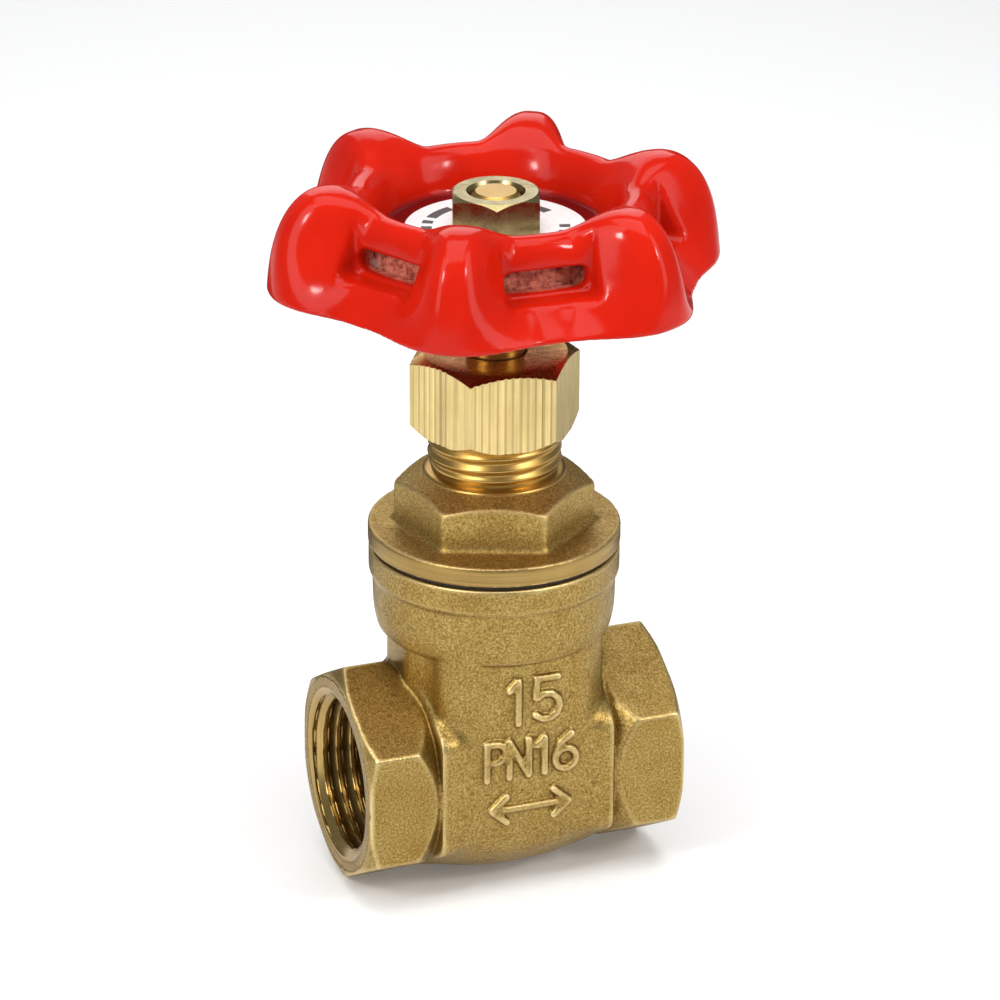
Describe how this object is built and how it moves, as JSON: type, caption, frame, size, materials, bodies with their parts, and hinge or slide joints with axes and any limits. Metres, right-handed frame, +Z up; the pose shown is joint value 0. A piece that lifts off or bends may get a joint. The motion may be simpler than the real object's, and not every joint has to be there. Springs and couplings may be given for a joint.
{
  "type": "gate valve",
  "caption": "Small brass gate valve with hexagonal threaded ends, a screwed bonnet, a packing nut and a red lobed handwheel that lifts the wedge.",
  "frame": {"origin": "where the flow axis meets the stem axis, in the middle of the body", "axes": "+X along the flow axis to the outlet port, +Z up along the stem to the handwheel, -Y is the marked side of the body"},
  "size_m": [0.0564, 0.0522, 0.0908],
  "materials": {
    "cast_brass": "sandblasted casting, satin",
    "machined_brass": "turned, bright",
    "fibre": "matt",
    "packing": "matt",
    "red_paint": "gloss",
    "white_print": "satin"
  },
  "bodies": {
    "valve_body": {"body": "cast_brass", "bonnet": "cast_brass", "bonnet_gasket": "fibre", "retaining_ring": "machined_brass", "thrust_washer": "machined_brass", "packing_ring_lower": "packing", "packing_ring_middle": "packing", "packing_ring_upper": "packing", "packing_gland": "machined_brass", "packing_nut": "machined_brass"},
    "spindle": {"stem": "machined_brass", "handwheel": "red_paint", "id_plate": "white_print", "handwheel_nut": "machined_brass"},
    "gate": {"wedge": "cast_brass"}
  },
  "joints": [
    {"name": "handwheel_turn", "type": "hinge", "parent": "valve_body", "child": "spindle", "pos_m": [0, 0, 0], "axis": [0, 0, 1], "range_deg": [0, 1890]},
    {"name": "wedge_lift", "type": "slide", "parent": "valve_body", "child": "gate", "axis": [0, 0, 1], "range_m": [0, 0.01576]}
  ],
  "couplings": [
    {"joint": "wedge_lift", "follows": "handwheel_turn", "m_per_rad": 0.00047746}
  ]
}
